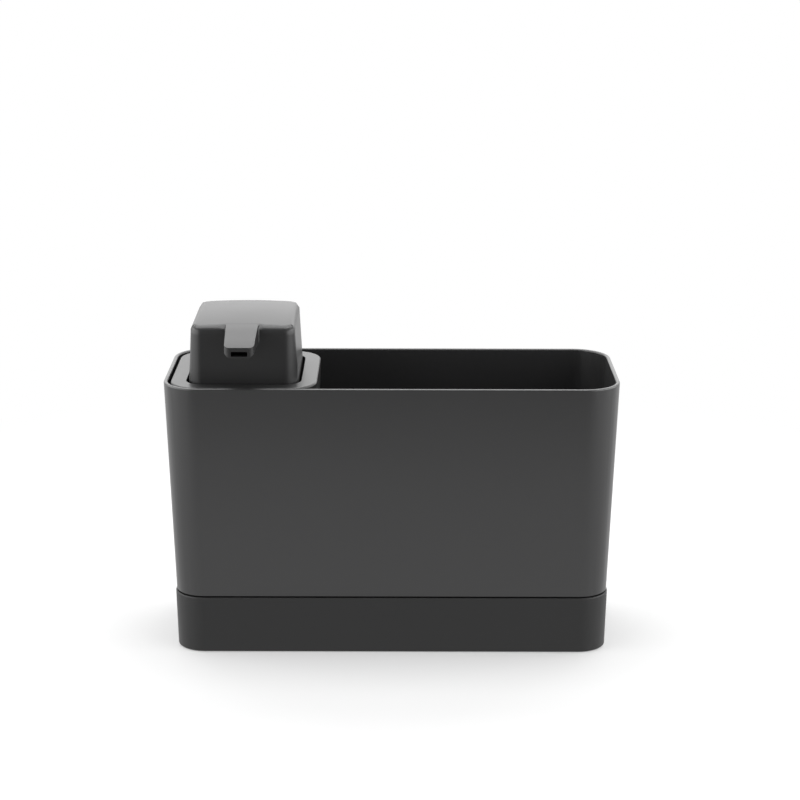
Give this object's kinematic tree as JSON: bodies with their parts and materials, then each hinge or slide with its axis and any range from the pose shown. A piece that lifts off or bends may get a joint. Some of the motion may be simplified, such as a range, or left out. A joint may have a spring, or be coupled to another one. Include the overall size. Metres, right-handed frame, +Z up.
{
  "type": "soap pump caddy",
  "caption": "Tapered rounded caddy in a drip tray, with a pump soap dispenser in one end and an open bay for brushes and sponges beside it.",
  "frame": {"origin": "under the middle of the tray, on the surface that the caddy stands on", "axes": "+X along the caddy's length, from the dispenser towards the open bay; +Y towards the back, away from the spout; +Z up"},
  "size_m": [0.2, 0.0821, 0.1488],
  "materials": {
    "container_plastic": "satin moulded plastic, dark grey",
    "tray_plastic": "fine matte moulded plastic, darker grey",
    "dispenser_plastic": "satin moulded plastic, dark grey",
    "pump_plastic": "natural milky plastic",
    "tube_plastic": "translucent extruded plastic",
    "foot_rubber": "matte soft rubber",
    "seal_rubber": "smooth seal rubber",
    "valve_steel": "polished steel",
    "spring_steel": "drawn stainless wire"
  },
  "bodies": {
    "tray_unit": {"base_tray": "tray_plastic", "foot_ring": "foot_rubber"},
    "container_unit": {"container": "container_plastic"},
    "bottle_unit": {"bottle": "dispenser_plastic"},
    "cover_unit": {"bottle_cover": "dispenser_plastic", "cover_seal": "seal_rubber", "pump_housing": "pump_plastic", "housing_gasket": "seal_rubber", "retaining_nut": "pump_plastic", "stem_guide": "pump_plastic", "stem_wiper": "seal_rubber", "spring_seat": "pump_plastic", "pump_spring": "spring_steel", "dip_tube": "tube_plastic"},
    "head_unit": {"pump_head": "dispenser_plastic", "flow_channel": "pump_plastic", "pump_stem": "pump_plastic", "piston": "pump_plastic"},
    "inlet_valve": {"inlet_ball": "valve_steel"},
    "outlet_valve": {"outlet_ball": "valve_steel"}
  },
  "joints": [
    {"name": "container_lift", "type": "slide", "parent": "tray_unit", "child": "container_unit", "axis": [0, 0, 1], "range_m": [0, 0.06]},
    {"name": "bottle_lift", "type": "slide", "parent": "container_unit", "child": "bottle_unit", "axis": [0, 0, 1], "range_m": [0, 0.11]},
    {"name": "cover_lift", "type": "slide", "parent": "bottle_unit", "child": "cover_unit", "axis": [0, 0, 1], "range_m": [0, 0.1]},
    {"name": "head_press", "type": "slide", "parent": "cover_unit", "child": "head_unit", "axis": [0, 0, -1], "range_m": [0, 0.012], "stiffness_N_per_m": 400, "springref_m": -0.01, "deforming": ["pump_spring"]},
    {"name": "inlet_ball_lift", "type": "slide", "parent": "cover_unit", "child": "inlet_valve", "axis": [0, 0, 1], "range_m": [0, 0.0015]},
    {"name": "outlet_ball_lift", "type": "slide", "parent": "head_unit", "child": "outlet_valve", "axis": [0, 0, 1], "range_m": [0, 0.0015]}
  ]
}
